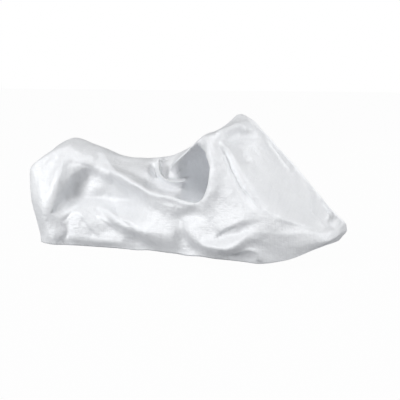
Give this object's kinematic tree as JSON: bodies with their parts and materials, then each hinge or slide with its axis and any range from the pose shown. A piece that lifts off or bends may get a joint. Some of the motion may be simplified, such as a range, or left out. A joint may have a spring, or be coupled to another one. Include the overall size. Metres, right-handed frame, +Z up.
{
  "type": "snowmobile cover",
  "caption": "Hollow one-piece silver cloth cover draped over the shape of a snowmobile, with a front peak, bar corners, a saddle dip and folds, open below.",
  "frame": {"origin": "under the top of the cover, in the centre plane at the saddle dip, where what it covers carries it", "axes": "+X towards the nose, +Y to the left, +Z up"},
  "size_m": [2.9392, 1.0943, 1.2009],
  "materials": {
    "silver_cloth": "silver-coated polyester taffeta with a satin sheen"
  },
  "bodies": {
    "root": {"cover": "silver_cloth"}
  },
  "joints": []
}
